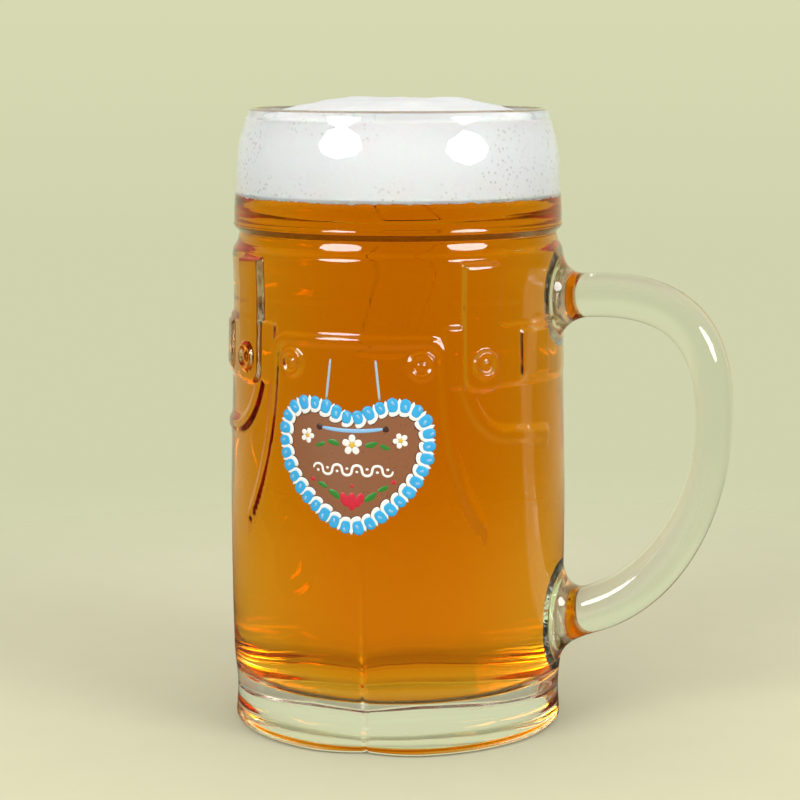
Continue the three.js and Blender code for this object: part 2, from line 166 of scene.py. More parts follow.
def run_lengths(points):
    """Length along a line of points up to each of them."""
    return np.concatenate(([0], np.cumsum(np.hypot(*np.diff(points, axis=0).T))))


def units(ways):
    """Ways made one long."""
    return ways / np.hypot(*ways.T)[:, None]


def round_points(centre, radius, start, end, steps):
    """Points of an arc in a profile, its angles in degrees from the outward side."""
    turn = np.radians(np.linspace(start, end, steps))
    return [(centre[0] + radius * math.cos(a), centre[1] + radius * math.sin(a)) for a in turn]


def box_distance(s, z, centre, half, corner):
    """Distance to a rectangle with round corners."""
    qs = np.abs(s - centre[0]) - half[0] + corner
    qz = np.abs(z - centre[1]) - half[1] + corner
    return np.hypot(np.maximum(qs, 0), np.maximum(qz, 0)) + np.minimum(np.maximum(qs, qz), 0) - corner


def line_distance(s, z, points):
    """Distance to a line through points, and the share of its length at the nearest place."""
    best = np.full(s.shape, 1e9)
    where = np.zeros(s.shape)
    points = np.array(points, float)
    starts = run_lengths(points)
    for k, (a, b) in enumerate(zip(points[:-1], points[1:])):
        d = b - a
        t = np.clip(((s - a[0]) * d[0] + (z - a[1]) * d[1]) / (d @ d), 0, 1)
        far = np.hypot(s - a[0] - t * d[0], z - a[1] - t * d[1])
        nearer = far < best
        best[nearer] = far[nearer]
        where[nearer] = (starts[k] + t[nearer] * (starts[k + 1] - starts[k])) / starts[-1]
    return best, where


def curve_points(start, bend, end, steps):
    """Points of a curve that leaves start for bend and comes to end from it."""
    t = np.linspace(0, 1, steps)[:, None]
    a, b, c = (np.array(p, float) for p in (start, bend, end))
    return (1 - t) ** 2 * a + 2 * t * (1 - t) * b + t**2 * c


def arc_mm(angle):
    """Arc length on the developed wall, in mm, from an angle in degrees."""
    return math.radians(angle) * BELLY


def flap_line(relief):
    """Middle line of the flap's piping: up one flaring side, over the top and down the other."""
    top, half, hem = relief.flap_top / MM, relief.flap_half_width / MM, relief.flap_hem / MM
    corner = relief.flap_corner / MM
    bottom = top - relief.flap_length / MM
    side = curve_points((-hem, bottom), (-half - 0.6, bottom + 13), (-half, top - corner), 16)
    turn = np.radians(np.linspace(180, 90, 7))
    bow = np.stack((corner - half + corner * np.cos(turn), top - corner + corner * np.sin(turn)), 1)
    left = np.concatenate((side, bow[1:]))
    return np.concatenate((left, left[::-1] * (-1, 1)))


def waist_lift(aside, z, relief):
    """Waistband, left off behind the flap and fainter at the back, and its two side tabs."""
    low, high = relief.waist_low / MM, relief.waist_high / MM
    behind_flap = soft_edge(aside - relief.flap_half_width / MM, 1.5)
    front = soft_edge(aside - arc_mm(FRONT_HALF), 12)
    waist = relief.waist_rise / MM * soft_edge(np.maximum(low - z, z - high), 2.6 - 1.5 * front)
    waist *= (1 - behind_flap) * (0.4 + 0.6 * front)
    centre, half = (arc_mm(TAB_ANGLE), (low + high) / 2), (arc_mm(TAB_HALF_ANGLE), TAB_HALF_HEIGHT)
    tabs = soft_edge(box_distance(aside, z, centre, half, 1.0), 1.3)
    return np.maximum(waist, relief.tab_rise / MM * tabs)


def brace_lift(aside, z, relief):
    """Two upright braces at the front and two leaning ones at the back, up to the shoulder."""
    low, high = relief.waist_low / MM - BRACE_DROP, SHOULDER + 5
    middle, half = (low + high) / 2, (relief.brace_width / MM / 2, (high - low) / 2)
    bevel = relief.brace_bevel / MM
    front = box_distance(aside, z, (arc_mm(BRACE_ANGLE), middle), half, BRACE_CORNER)
    lean = (aside - arc_mm(BACK_BRACE_ANGLE)) - (z - middle) * math.tan(math.radians(BACK_BRACE_LEAN))
    back = box_distance(lean, z, (0, middle), (half[0] * BACK_BRACE_WIDTH, half[1]), BRACE_CORNER)
    faint = BACK_BRACE_RISE * soft_edge(back, BACK_BRACE_BEVEL * bevel)
    below_shoulder = soft_edge(z - SHOULDER - 0.8, 1.2)
    return relief.brace_rise / MM * np.maximum(soft_edge(front, bevel), faint) * below_shoulder


def seam_lift(s, z, relief):
    """Piping round the flap and the seams of the two pockets."""
    piping, share = line_distance(s, z, flap_line(relief))
    taper = np.clip(np.minimum(share, 1 - share) * 40, 0.35, 1)
    bead = np.clip(1 - (piping / (PIPING_HALF * taper)) ** 2, 0, 1)
    foot = relief.waist_low / MM
    pocket = curve_points(*((arc_mm(angle), foot + off) for angle, off in POCKET_CURVE), 12)
    pocket = np.concatenate((pocket, [(arc_mm(POCKET_END[0]), foot + POCKET_END[1])]))
    seam, _ = line_distance(np.abs(s), z, pocket)
    pockets = relief.pocket_rise / MM * soft_edge(seam - POCKET_HALF, 1.8)
    return np.maximum(relief.piping_rise / MM * bead**1.2, pockets)


def relief_lift(angle, z, relief):
    """How far the moulded relief stands off the wall at angles (degrees) and heights (mm)."""
    s = np.radians(angle) * BELLY
    aside = np.abs(s)
    lift = np.maximum(waist_lift(aside, z, relief), brace_lift(aside, z, relief))
    lift = np.maximum(lift, seam_lift(s, z, relief))
    for button, base in ((BRACE_BUTTON, relief.brace_rise / MM), (FLAP_BUTTON, 0)):
        r = np.hypot(aside - arc_mm(button), z - BUTTON_HEIGHT)
        rim = np.exp(-(((r - BUTTON_RIM) / BUTTON_RIM_HALF) ** 2))
        boss = np.exp(-((r / BUTTON_BOSS) ** 4))
        face = base + relief.button_rise / MM * np.maximum(rim, 0.8 * boss)
        round_face = np.maximum(lift, face * soft_edge(r - BUTTON_RADIUS, 0.9))
        lift = np.where(r < BUTTON_RADIUS + 0.5, round_face, lift)
    return lift


def split_depth(angle, z, relief):
    """How far the split between the legs presses the wall in, front and back."""
    off = np.abs((angle - relief.split_turn + 90) % 180 - 90)
    closeness = np.clip(1 - off / relief.split_angle, 0, 1)
    fade = np.clip(1 - z / (relief.split_height / MM), 0, 1)
    front = np.abs(angle) < FRONT_HALF
    line = np.exp(-((np.radians(off) * BELLY / CREASE_HALF) ** 2))
    crease = relief.crease_depth / MM * line * np.sqrt(fade)
    wide = relief.split_depth / MM * np.where(front, 1, 0.4) * fade**1.8 * closeness**1.7
    return wide + np.where(front, crease, 0)


# Modelling steps


def deselect():
    """Leaves edit mode and selects nothing."""
    if bpy.context.object and bpy.context.object.mode != "OBJECT":
        bpy.ops.object.mode_set(mode="OBJECT")
    bpy.ops.object.select_all(action="DESELECT")


def draw_line(name, points):
    """A new object, left in edit mode, with a line of edges that is extruded from point to point."""
    deselect()
    bpy.ops.mesh.primitive_plane_add(size=MM)
    piece = bpy.context.object
    piece.name = piece.data.name = name
    bpy.ops.object.mode_set(mode="EDIT")
    bpy.ops.mesh.select_all(action="SELECT")
    bpy.ops.mesh.merge(type="CENTER")
    bpy.ops.transform.translate(value=points[0])
    for a, b in zip(points, points[1:]):
        bpy.ops.mesh.extrude_region_move(TRANSFORM_OT_translate={"value": b - a})
    return piece


def join(name, parts):
    """Several parts as one piece."""
    deselect()
    for part in parts:
        part.select_set(True)
    bpy.context.view_layer.objects.active = parts[0]
    if len(parts) > 1:
        bpy.ops.object.join()
    parts[0].name = parts[0].data.name = name
    return parts[0]


def turn_line(name, profile, arcs):
    """Turns a profile of (radius, height) about the mug's axis through arcs of (start, degrees, steps)."""
    parts = []
    for start, degrees, steps in arcs:
        part = draw_line(f"{name}_{len(parts)}", [on_mug(start, r, z) - AXIS for r, z in profile])
        bpy.ops.object.mode_set(mode="OBJECT")
        part.location = AXIS
        screw = part.modifiers.new("turn", "SCREW")
        screw.angle = math.radians(degrees)
        screw.steps = screw.render_steps = steps
        bpy.ops.object.modifier_apply(modifier=screw.name)
        bpy.ops.object.transform_apply(location=True, rotation=False, scale=False)
        parts.append(part)
    piece = join(name, parts)
    bpy.ops.object.mode_set(mode="EDIT")
    close_skin()
    return piece


def close_skin():
    """Merges doubles, turns the faces outwards and leaves edit mode with smooth shading."""
    bpy.ops.mesh.select_all(action="SELECT")
    bpy.ops.mesh.remove_doubles(threshold=1e-6)
    bpy.ops.mesh.normals_make_consistent(inside=False)
    bpy.ops.object.mode_set(mode="OBJECT")
    bpy.ops.object.shade_smooth()


def order_faces(mesh):
    """Sorts the faces of a mesh in edit mode by their points, so that every run gives the same list."""
    edit = bmesh.from_edit_mesh(mesh)
    edit.verts.index_update()
    keys = {}
    for face in edit.faces:
        corners = [vertex.index for vertex in face.verts]
        keys[face] = min(corners) * 4 * len(edit.verts) + sum(corners)
    edit.faces.sort(key=keys.get)
    bmesh.update_edit_mesh(mesh)


def loft(name, rings):
    """A skin through equal rings of points: a circle is extruded ring by ring and its ends are filled."""
    deselect()
    bpy.ops.mesh.primitive_circle_add(vertices=len(rings[0]), radius=MM, fill_type="NOTHING")
    piece = bpy.context.object
    piece.name = piece.data.name = name
    bpy.ops.object.mode_set(mode="EDIT")
    mesh = bmesh.from_edit_mesh(piece.data)
    for vertex, place in zip(mesh.verts, rings[0]):
        vertex.co = place
    bpy.ops.mesh.select_all(action="SELECT")
    bpy.ops.mesh.edge_face_add()
    bpy.ops.mesh.poke()
    mesh = bmesh.from_edit_mesh(piece.data)
    for k, places in enumerate(rings[1:]):
        start = len(mesh.verts)
        count = len(places)
        bpy.ops.mesh.select_all(action="DESELECT")
        mesh.verts.ensure_lookup_table()
        first = 0 if k == 0 else start - count
        for j in range(count):
            mesh.verts[first + j].select = True
        for j in range(count):
            edge = mesh.edges.get((mesh.verts[first + j], mesh.verts[first + (j + 1) % count]))
            if edge is None:
                raise RuntimeError(f"{name}: a ring came out in another order")
            edge.select = True
        bpy.ops.mesh.extrude_edges_move()
        mesh = bmesh.from_edit_mesh(piece.data)
        mesh.verts.ensure_lookup_table()
        for new in mesh.verts[start:]:
            old = next(e.other_vert(new) for e in new.link_edges if e.other_vert(new).index < start)
            new.co = places[old.index - first]
    bpy.ops.mesh.edge_face_add()
    bpy.ops.mesh.poke()
    order_faces(piece.data)
    close_skin()
    return piece


def dress(piece, material, slot, *nodes):
    """Gives a piece its material and its body and hides the CAD nodes that it stands for; the slot is not
    used.
    """
    piece.data.materials.clear()
    piece.data.materials.append(material)
    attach(piece, "root")
    if nodes:
        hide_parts(*nodes)


# Materials

AHEAD = (0.26, -0.97, 0.0)  # the way from the mug to the camera
FOAM_SIDES = (0.03, 0.018)  # how far ahead of the axis the foam turns coarser, m


class Wire:
    """A socket in a material's nodes. Sums on it add Math nodes, and node() adds any other node."""

    def __init__(self, tree, socket=None):
        self.tree = tree
        self.socket = socket

    def node(self, kind, settings=None, sockets=None, out=0):
        made = self.tree.nodes.new("ShaderNode" + kind)
        for name, value in (settings or {}).items():
            if name == "stops":
                ramp = made.color_ramp.elements
                while len(ramp) < len(value):
                    ramp.new(1.0)
                for stop, (place, colour) in zip(ramp, value):
                    stop.position = place
                    stop.color = colour
            else:
                setattr(made, name, value)
        for name, value in (sockets or {}).items():
            if isinstance(value, Wire):
                self.tree.links.new(value.socket, made.inputs[name])
            else:
                made.inputs[name].default_value = value
        return Wire(self.tree, made.outputs[out] if len(made.outputs) else None)

    def maths(self, operation, first, second):
        return self.node("Math", {"operation": operation}, {0: first, 1: second})

    def __add__(self, other):
        return self.maths("ADD", self, other)

    __radd__ = __add__

    def __sub__(self, other):
        return self.maths("SUBTRACT", self, other)

    def __rsub__(self, other):
        return self.maths("SUBTRACT", other, self)

    def __mul__(self, other):
        return self.maths("MULTIPLY", self, other)


def new_finish(name):
    """An empty material and its wiring."""
    material = bpy.data.materials.new(name)
    material.use_nodes = True
    material.node_tree.nodes.clear()
    return material, Wire(material.node_tree)


def finished(material, wire, look, volume=None):
    """The material with its look on a Principled shader, and a volume where there is one."""
    ends = {"Surface": wire.node("BsdfPrincipled", None, look)}
    if volume:
        ends["Volume"] = volume
    wire.node("OutputMaterial", None, ends)
    return material


def clouds(place, scale, detail=2.0):
    """Soft noise over a place."""
    return place.node("TexNoise", None, {"Vector": place, "Scale": scale, "Detail": detail})


def bubbles(place, scale):
    """Distance to the middle of the nearest of many packed cells."""
    return place.node("TexVoronoi", None, {"Vector": place, "Scale": scale})


def bumped(height, strength, distance):
    """A normal for a fine relief."""
    return height.node("Bump", None, {"Height": height, "Strength": strength, "Distance": distance})


def rgba(colour, share=1.0):
    """A colour with its alpha, made darker by a share."""
    return (*(c * share for c in colour), 1.0)


def mixed(wire, factor, first, second):
    """A colour between two, by a factor."""
    return wire.node("Mix", {"data_type": "RGBA"}, {0: factor, 6: first, 7: second}, 2)


def ranged(value, low, high, start=0.0, end=1.0, kind="LINEAR"):
    """A value between low and high, carried over to start and end and held there."""
    sockets = {"Value": value, 1: low, 2: high, 3: start, 4: end}
    return value.node("MapRange", {"interpolation_type": kind}, sockets)


def glass_finish(name, tint, shine):
    """Clear moulded glass: slightly wavy from the mould, with a breath of haze here and there."""
    material, wire = new_finish(name)
    place = wire.node("TexCoord", out="Object")
    waves = clouds(place, 55.0, 1.5)
    haze = clouds(place, 24.0, 3.0)
    bump = bumped(waves, 0.12, 0.0012)
    look = {
        "Base Color": rgba(tint),
        "Roughness": haze * 0.012,
        "IOR": 1.52,
        "Specular Tint": (shine, shine, shine, 1),
        "Transmission Weight": 1.0,
        "Normal": bump,
    }
    return finished(material, wire, look)


def beer_finish(settings):
    """Clear amber beer: the colour comes from the depth of liquid that is looked through."""
    material, wire = new_finish("amber_beer")
    place = wire.node("TexCoord", out="Object")
    drift = clouds(place, 30.0, 2.0)
    tint = mixed(wire, drift, (1.0, 0.985, 0.95, 1), (1.0, 1.0, 1.0, 1))
    look = {
        "Base Color": tint,
        "Roughness": 0.0,
        "IOR": 1.345,
        "Specular Tint": (0, 0, 0, 1),
        "Transmission Weight": 1.0,
    }
    let_through = {"Color": rgba(settings.beer_colour), "Density": settings.depth}
    return finished(material, wire, look, wire.node("VolumeAbsorption", None, let_through))


def foam_finish(settings):
    """White foam: packed bubbles, clusters of open pores, a warm foot and a crown above the lip painted
    greyer, as painted shade against the direct light on it.
    """
    material, wire = new_finish("beer_foam")
    place = wire.node("TexCoord", out="Object")
    height = wire.node("SeparateXYZ", None, {"Vector": place}, 2)
    out = wire.node("VectorMath", {"operation": "SUBTRACT"}, {0: place, 1: tuple(AXIS)})
    ahead = wire.node("VectorMath", {"operation": "DOT_PRODUCT"}, {0: out, 1: AHEAD}, "Value")
    sides = ranged(ahead, *FOAM_SIDES)
    fine = bubbles(place, 1100.0)
    cells = bubbles(place, 780.0)
    cloud = clouds(place, 90.0, 4.0)
    patches = clouds(place, 48.0, 3.0)
    foot = ranged(height, BEER_HIGH.z, BEER_HIGH.z + 0.009, 1.0, 0.0)
    # Above the foam's edge the colour turns greyer: painted shade that damps the direct light on the crown
    crown = ranged(height, FOAM_EDGE * MM, LIP * MM + 0.001)
    clusters = ranged(patches + foot * 0.13 + sides * 0.17, 0.52, 0.64)
    pores = ranged(cells - sides * 0.05, 0.12, 0.3, 1.0, 0.0) * clusters
    body = mixed(wire, cloud, rgba(settings.foam_shade), rgba(settings.foam_colour))
    shaded = mixed(wire, pores * 0.42, body, rgba(settings.foam_pore))
    drained = mixed(wire, foot * 0.12, shaded, (0.9, 0.78, 0.55, 1))
    colour = mixed(wire, crown, drained, rgba(settings.foam_crown_painted_shade))
    relief = fine * 0.5 - pores * 0.9 + cloud * 0.8
    bump = bumped(relief, 0.22, 0.0006)
    look = {
        "Base Color": colour,
        "Roughness": 0.55 + cloud * 0.2,
        "IOR": 1.33,
        "Subsurface Weight": 0.25,
        "Subsurface Scale": 0.002,
        "Normal": bump,
    }
    return finished(material, wire, look)


def print_finish(name, colour, speck, amount, scale):
    """Fired enamel: an even colour with specks and a slightly uneven gloss."""
    material, wire = new_finish(name)
    place = wire.node("TexCoord", out="Object")
    grain = clouds(place, scale, 3.0)
    cells = bubbles(place, scale * 0.8)
    specks = ranged(cells, 0.1, 0.22, 1.0, 0.0)
    base = mixed(wire, grain, rgba(colour), rgba(colour, 0.86))
    tone = mixed(wire, specks * amount, base, rgba(speck))
    bump = bumped(grain, 0.1, 0.0001)
    look = {"Base Color": tone, "Roughness": 0.3 + grain * 0.2, "Normal": bump}
    return finished(material, wire, look)


# Settings


def colour_of(name, description, default):
    """A colour setting."""
    return FloatVectorProperty(
        name=name, description=description, subtype="COLOR", default=default, min=0, max=1
    )


def length_of(name, description, default):
    """A length setting, in metres."""
    return FloatProperty(name=name, description=description, default=default, unit="LENGTH")


class GlassSettings(bpy.types.PropertyGroup):
    """Clear glass of the body and handle."""

    tint: colour_of("Tint", "Colour of the glass", (0.965, 0.98, 0.955))
    # Lip: amber painted into the glass on top of the lip, a painted refraction of the beer seen through its
    # round
    lip: colour_of("Lip", "Amber caught in the lip", (0.36, 0.25, 0.17))


class ReliefSettings(bpy.types.PropertyGroup):
    """Breeches moulded on the body."""

    waist_low: length_of("Waistband foot", "Height", 0.0887)
    waist_high: length_of("Waistband top", "Height", 0.103)
    waist_rise: length_of("Waistband rise", "Off the wall", 0.0006)
    brace_width: length_of("Brace width", "Across a brace", 0.0098)
    brace_rise: length_of("Brace rise", "Off the wall", 0.0016)
    brace_bevel: length_of("Brace bevel", "Width of its edge", 0.0011)
    tab_rise: length_of("Tab rise", "Off the wall", 0.0012)
    flap_top: length_of("Flap top", "Height of its top piping", 0.0998)
    flap_length: length_of("Flap length", "Top piping to hem", 0.0463)
    flap_half_width: length_of("Flap half width", "At the top", 0.022)
    flap_hem: length_of("Hem half width", "At the foot of the flap", 0.0332)
    flap_corner: length_of("Flap corner", "Radius", 0.0042)
    piping_rise: length_of("Piping rise", "Off the wall", 0.00066)
    pocket_rise: length_of("Pocket rise", "Off the wall", 0.00066)
    button_rise: length_of("Button rise", "Off what it sits on", 0.0008)
    split_depth: length_of("Split depth", "At the table", 0.0026)
    crease_depth: length_of("Crease", "Fine line in the split", 0.0009)
    split_height: length_of("Split height", "Where it runs out", 0.046)
    split_angle: FloatProperty(name="Split opening", description="Half of it, degrees", default=21.0)
    split_turn: FloatProperty(name="Split turn", description="Towards the handle, degrees", default=3.3)


class HandleSettings(bpy.types.PropertyGroup):
    """Glass handle."""

    upper_bar: length_of("Upper thickness", "Of the upper arm", 0.0107)
    middle_bar: length_of("Middle thickness", "Where it is slimmest", 0.0089)
    lower_bar: length_of("Lower thickness", "Of the lower arm", 0.012)
    width: length_of("Width", "Across the handle", 0.0126)
    reach: length_of("Reach", "Belly to its middle line", 0.0373)
    widest: length_of("Widest height", "Where it reaches most", 0.078)
    upper_foot: length_of("Upper foot", "Height of its middle", 0.107)
    lower_foot: length_of("Lower foot", "Height of its middle", 0.028)
    outer_flare: length_of("Outer flare", "Round on the outer side", 0.0072)
    inner_flare: length_of("Inner flare", "Round inside the loop", 0.0066)
    side_flare: length_of("Side flare", "Round on both sides", 0.005)


class DrinkSettings(bpy.types.PropertyGroup):
    """Beer and foam."""

    beer_colour: colour_of("Beer", "Colour let through", (0.986, 0.807, 0.0))
    depth: FloatProperty(name="Depth", description="Strength of the beer's colour", default=110.0, min=0)
    foam_colour: colour_of("Foam", "Colour of the foam", (0.92, 0.925, 0.935))
    foam_shade: colour_of("Foam shade", "Colour between bubbles", (0.87, 0.875, 0.885))
    foam_pore: colour_of("Foam pores", "Colour of open pores", (0.3, 0.28, 0.25))
    # Crown above the lip painted greyer than the foam: painted shade against the direct light it gets
    foam_crown_painted_shade: colour_of("Foam crown", "Colour above the lip", (0.56, 0.555, 0.53))


class PrintSettings(bpy.types.PropertyGroup):
    """Heart print."""

    brown: colour_of("Brown", "Ground", (0.205, 0.074, 0.024))
    white: colour_of("White", "Icing", (0.64, 0.61, 0.55))
    blue: colour_of("Blue", "Icing", (0.02, 0.29, 0.52))
    cord: colour_of("Cord", "Cords", (0.27, 0.36, 0.38))
    light: colour_of("Light blue", "Ribbon and glints", (0.18, 0.37, 0.55))
    dark: colour_of("Shade", "Under the icing", (0.05, 0.016, 0.008))
    yellow: colour_of("Yellow", "Eyes of blossoms", (0.55, 0.34, 0.03))
    green: colour_of("Green", "Leaves", (0.018, 0.17, 0.012))
    red: colour_of("Red", "Tulip and berries", (0.46, 0.004, 0.018))
    width: length_of("Width", "Of the heart", 0.0404)
    height: length_of("Height", "Of the heart", 0.033)
    top: length_of("Top", "Height of the lobes", 0.087)


class StageSettings(bpy.types.PropertyGroup):
    """Floor, backdrop, lamps and camera."""

    backdrop: colour_of("Backdrop", "Colour behind", (0.70, 0.72, 0.465))
    floor: colour_of("Floor", "Colour of the floor", (0.5, 0.48, 0.318))
    lamp: FloatProperty(name="Lamp", description="Strength of the two soft boxes", default=14.0, min=0)
    dome: FloatProperty(name="Dome", description="Light on matt surfaces", default=1.1, min=0)
    distance: length_of("Distance", "Camera to the mug's axis", 0.558)
    eye: length_of("Eye", "Camera height", 0.1652)
    lens: FloatProperty(name="Lens", description="Focal length in mm on 36 mm", default=101.07)


# Pieces

HOLLOW = 0.55  # of the underside, mm
# Ring that the mug stands on: distance in from the round of the foot and height, mm
STANDING_RING = ((6.4, HOLLOW), (5.6, 0.3), (4.8, 0), (1.6, 0))
# Rows of the outer wall: from, to, steps
BODY_ROWS = (
    (FOOT_ROUND, 53, 20), (53, 74, 14), (74, 104.5, 54), (104.5, SHOULDER, 8), (SHOULDER, 126.1, 22),
    (126.1, LIP, 11),
)
# Columns of the body: start off the front, degrees, steps
BODY_ARCS = (
    (-84, 32, 64), (-52, 33, 94), (-19, 17.3, 18), (-1.7, 5, 16), (3.3, 5, 16), (8.3, 10.7, 12),
    (19, 33, 94), (52, 32, 64), (84, 64, 46), (148, 35.3, 59), (183.3, 28.7, 48), (212, 64, 46),
)
RELIEF_LOW, RELIEF_HIGH = 40, SHOULDER + 1.5
# Above this height the glass of the lip's round is painted amber: painted refraction of the beer seen
# through the lip
LIP_PAINTED_AMBER = 1.1  # height of the amber line above the middle of the lip's round, mm

# Handle, mm
SUNK = 0.06  # how far its feet sink into the wall
ROOT = BELLY - 2.3  # reach of its middle line at the feet
LOWER_SWELL = 1.15  # size of the lower foot's flare beside the upper one's
SQUARENESS = 2.35  # of its section: 2 is an ellipse
SECTION_POINTS, FLARE_RINGS, BAR_RINGS = 64, 15, 86
CAP_SHARES = (0.75, 0.45, 0.15)

# Beer and foam grow into the glass and into each other, so that no air gap shows, mm
BEER_GROW, FOAM_GROW = 0.15, 0.12
BEER_RISE, FOAM_DIP = 0.2, 0.55
CROWN_POWER = 3.4  # how flat the foam's crown is
CROWN_START = 0.35  # its height above the foam's edge
# Low humps of the foam's crown: place across and along, width and rise, mm
FOAM_HUMPS = ((-10, 0, 8, 0.7), (14, -2, 6, 0.9), (-2, 12, 7, 0.3), (-20, 14, 6, 0.4), (8, -18, 6, 0.3))

# Right side of the heart, notch to tip: shares of its half width and of its height from the top
HEART_SIDE = (
    (0, 0.118), (0.1, 0.089), (0.23, 0.05), (0.355, 0.018), (0.506, 0), (0.658, 0.011), (0.785, 0.039),
    (0.88, 0.086), (0.95, 0.15), (0.987, 0.221), (1, 0.314), (0.987, 0.4), (0.943, 0.5), (0.86, 0.6),
    (0.76, 0.693), (0.658, 0.761), (0.544, 0.821), (0.418, 0.886), (0.266, 0.95), (0.114, 0.989), (0, 1),
)
# Print colours: speck, amount of specks and scale of the grain
PRINT_LOOKS = {
    "brown": ((0.1, 0.032, 0.012), 0.55, 900.0),
    "dark": ((0.05, 0.02, 0.01), 0.3, 900.0),
    "white": ((0.55, 0.51, 0.45), 0.2, 700.0),
    "blue": ((0.06, 0.36, 0.57), 0.35, 500.0),
    "cord": ((0.42, 0.53, 0.58), 0.3, 900.0),
    "light": ((0.3, 0.46, 0.6), 0.3, 900.0),
    "yellow": ((0.62, 0.48, 0.12), 0.3, 900.0),
    "green": ((0.1, 0.33, 0.06), 0.4, 900.0),
    "red": ((0.6, 0.05, 0.08), 0.3, 700.0),
}
# Heart print: the underside of its dabs off the glass, mm, and the posy as arc length, height, turn and size
PRINT_LOW = -0.05
BORDER_DROPS = 36
SCROLL_WAVES = 4
SCROLL_HEIGHT = 69.6
SCROLL_PITCH = 0.78
RIBBON = ((-8.0, 79.5), (0, 78.3), (7.8, 79.6))
RIBBON_ENDS = ((-8.3, 79.5), (8.1, 79.5))
CORD_TOP, CORD_FOOT = (5.6, 95.6), (6.6, 86.2)
BLOSSOMS = ((0, 75.6, 1.0), (-11.6, 77.2, 0.74), (11.6, 76.8, 0.74))
LEAVES = (
    (-4.6, 75.8, 75, 1.0), (4.6, 76.0, -75, 1.0), (-7.9, 75.2, 110, 0.8), (7.9, 75.4, -112, 0.8),
    (-4.4, 63.6, 55, 1.1), (4.4, 63.6, -55, 1.1), (-7.4, 65.6, 66, 0.85), (7.4, 65.6, -66, 0.85),
)
TULIP = ((0, 62.2, 0, 1.1), (-1.8, 62.6, 26, 0.95), (1.8, 62.6, -26, 0.95))
BERRIES = ((-10, 67, 0, 0.7), (10, 67, 0, 0.7), (0, 65.9, 0, 0.6))


def inside_points(grow, top):
    """Radius and height of the inside from the middle of the floor up to a height, grown into the glass."""
    corner = float(along(INSIDE_LINE, FLOOR + FLOOR_ROUND)) - FLOOR_ROUND
    points = [(0, FLOOR - grow), (corner * 0.5, FLOOR - grow)]
    points += round_points((corner, FLOOR + FLOOR_ROUND), FLOOR_ROUND + grow, -90, 0, 9)
    heights = [z for z in INSIDE_ROWS if z < top - 0.5] + [top]
    points += list(zip(along(INSIDE_LINE, heights) + grow, heights))
    return points


def body_profile():
    """Radius and height round the glass: underside, outer wall, lip and inside, mm."""
    edge = BODY_LINE[0][1] - FOOT_ROUND
    points = [(0, HOLLOW), (16, HOLLOW)] + [(edge - off, z) for off, z in STANDING_RING]
    points += round_points((edge, FOOT_ROUND), FOOT_ROUND, -90, 0, 7)
    for low, high, steps in BODY_ROWS:
        for z in np.linspace(low, high, steps + 1)[1:]:
            points.append((float(wall_radius(z)), z))
    lip = COLLAR_LINE[-1][1] - LIP_RADIUS
    points += round_points((lip, LIP), LIP_RADIUS, 0, 180, 10)[1:-1]
    return points + inside_points(0, LIP)[::-1]


def press_breeches(mesh, relief):
    """Presses the breeches into the outer wall of a plain body."""
    x, y, z = from_axis(mesh, "vertices", "co")
    radius = np.hypot(x, y)
    angle = np.degrees(np.arctan2(x, -y))
    skin = (radius > along(INSIDE_LINE, z) + 0.5) | (z < FLOOR - 2)
    share = np.where(skin, 1 - split_depth(angle, z, relief) / np.maximum(wall_radius(z), 30), 1)
    raised = skin & (z > RELIEF_LOW) & (z < RELIEF_HIGH)
    lift = np.zeros(len(radius))
    lift[raised] = relief_lift(angle[raised], z[raised], relief)
    scale = share + lift / np.maximum(radius, 1)
    place = np.stack((x * scale, y * scale, z), 1) * MM + np.array(AXIS)
    mesh.vertices.foreach_set("co", place.ravel())
    mesh.update()


class MUG_OT_glass_body(bpy.types.Operator):
    """Turn the glass body and press the breeches into its outer wall"""

    bl_idname = "mug.glass_body"
    bl_label = "Glass body"

    def execute(self, context):
        glass = context.scene.mug_glass
        piece = turn_line("mug_glass_body", body_profile(), BODY_ARCS)
        press_breeches(piece.data, context.scene.mug_relief)
        dress(piece, glass_finish("clear_glass", glass.tint, 1.0), "glass", "glass_body")
        piece.data.materials.append(glass_finish("wetted_glass", glass.tint, 0.0))
        # Glass painted amber on top of the lip's round: painted refraction of the beer seen through it
        piece.data.materials.append(glass_finish("lip_glass", glass.lip, 1.0))
        x, y, z = from_axis(piece.data, "polygons", "center")
        covered = (z > FLOOR - 0.5) & (z < FOAM_EDGE) & (np.hypot(x, y) < along(INSIDE_LINE, z) + 0.3)
        for height, tall, wide in foot_sizes(context.scene.mug_handle):
            covered |= (x > 30) & (((z - height) / tall) ** 2 + (y / wide) ** 2 < 0.9)
        finish = np.where(z > LIP + LIP_PAINTED_AMBER, 2, covered)
        piece.data.polygons.foreach_set("material_index", finish.astype(np.int32))
        return {"FINISHED"}


def foot_sizes(handle):
    """Height, half height and half width of the handle's upper and lower foot on the wall, mm."""
    flare = (handle.outer_flare + handle.inner_flare) / 2
    shift = (handle.outer_flare - handle.inner_flare) / 2
    wide = (handle.width / 2 + handle.side_flare) / MM
    return (
        ((handle.upper_foot + shift) / MM, (handle.upper_bar / 2 + flare) / MM, wide),
        ((handle.lower_foot - shift) / MM, (handle.lower_bar / 2 + flare) / MM, wide),
    )


